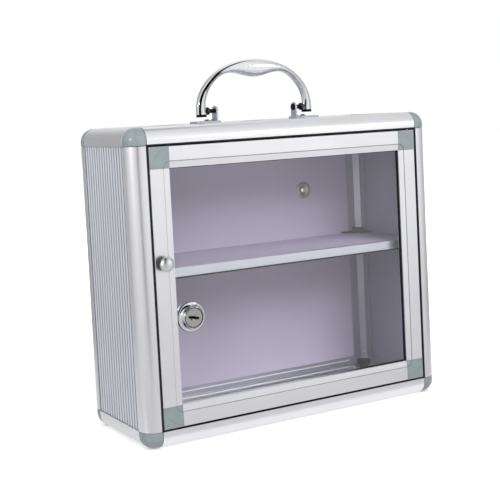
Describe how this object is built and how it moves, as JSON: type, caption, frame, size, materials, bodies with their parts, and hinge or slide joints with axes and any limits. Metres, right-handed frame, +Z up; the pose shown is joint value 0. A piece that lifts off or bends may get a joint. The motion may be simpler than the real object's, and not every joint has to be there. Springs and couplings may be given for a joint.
{
  "type": "lockable medicine cabinet",
  "caption": "Lockable medicine cabinet with rounded metal edges, ribbed side panels, a framed clear hinged door with pull knob and cam lock, an inner shelf and a folding carry handle on top.",
  "frame": {"origin": "centre of the overall footprint at the base, with the door's knob counted in the depth", "axes": "+X to the right seen from the door's side, +Y from the door towards the back, +Z up"},
  "size_m": [0.32, 0.131, 0.3385],
  "materials": {
    "satin_aluminium": "satin anodised extrusion",
    "ribbed_aluminium": "ribbed satin sheet",
    "grey_plastic": "moulded, light sheen",
    "laminated_board": "thin board with a smooth pale lilac grey laminate",
    "clear_pane": "clear and polished",
    "black_rubber": "matt",
    "chrome": "bright plated",
    "nickel": "dull nickel plated",
    "steel": "zinc plated"
  },
  "bodies": {
    "cabinet": {"front_profile_left": "satin_aluminium", "front_profile_right": "satin_aluminium", "front_profile_bottom": "satin_aluminium", "front_profile_top": "satin_aluminium", "rear_profile_left": "satin_aluminium", "rear_profile_right": "satin_aluminium", "rear_profile_bottom": "satin_aluminium", "rear_profile_top": "satin_aluminium", "depth_profile_bottom_left": "satin_aluminium", "depth_profile_bottom_right": "satin_aluminium", "depth_profile_top_left": "satin_aluminium", "depth_profile_top_right": "satin_aluminium", "corner_front_bottom_left": "grey_plastic", "corner_front_bottom_right": "grey_plastic", "corner_front_top_left": "grey_plastic", "corner_front_top_right": "grey_plastic", "corner_rear_bottom_left": "grey_plastic", "corner_rear_bottom_right": "grey_plastic", "corner_rear_top_left": "grey_plastic", "corner_rear_top_right": "grey_plastic", "side_panel_left": "ribbed_aluminium", "side_panel_right": "ribbed_aluminium", "bottom_panel": "ribbed_aluminium", "top_panel": "ribbed_aluminium", "back_panel": "laminated_board", "shelf": "laminated_board", "shelf_front_trim": "satin_aluminium", "shelf_ledge_left": "satin_aluminium", "shelf_ledge_right": "satin_aluminium", "hanging_bush_left": "steel", "hanging_bush_right": "steel", "hinge_pin_bottom": "steel", "hinge_pin_top": "steel", "handle_bracket_left": "chrome", "handle_bracket_right": "chrome", "handle_pin_left": "steel", "handle_pin_right": "steel", "bracket_rivet_left_front": "steel", "bracket_rivet_left_rear": "steel", "bracket_rivet_right_front": "steel", "bracket_rivet_right_rear": "steel"},
    "door": {"door_stile_left": "satin_aluminium", "door_stile_right": "satin_aluminium", "door_rail_bottom": "satin_aluminium", "door_rail_top": "satin_aluminium", "door_corner_bottom_left": "grey_plastic", "door_corner_bottom_right": "grey_plastic", "door_corner_top_left": "grey_plastic", "door_corner_top_right": "grey_plastic", "door_pane": "clear_pane", "door_gasket": "black_rubber", "knob": "chrome", "knob_screw": "steel", "lock_body": "chrome", "lock_nut": "steel"},
    "lock_cylinder": {"lock_plug": "nickel", "lock_cam": "steel", "cam_screw": "steel"},
    "handle": {"handle_grip": "chrome"}
  },
  "joints": [
    {"name": "door_hinge", "type": "hinge", "parent": "cabinet", "child": "door", "pos_m": [0.1372, -0.0512, 0.14], "axis": [0, 0, 1], "range_deg": [0, 110]},
    {"name": "lock_turn", "type": "hinge", "parent": "door", "child": "lock_cylinder", "pos_m": [-0.1097, -0.0495, 0.112], "axis": [0, 1, 0], "range_deg": [-30, 60]},
    {"name": "handle_fold", "type": "hinge", "parent": "cabinet", "child": "handle", "pos_m": [0, 0.0055, 0.291], "axis": [1, 0, 0], "range_deg": [-90, 90]}
  ]
}
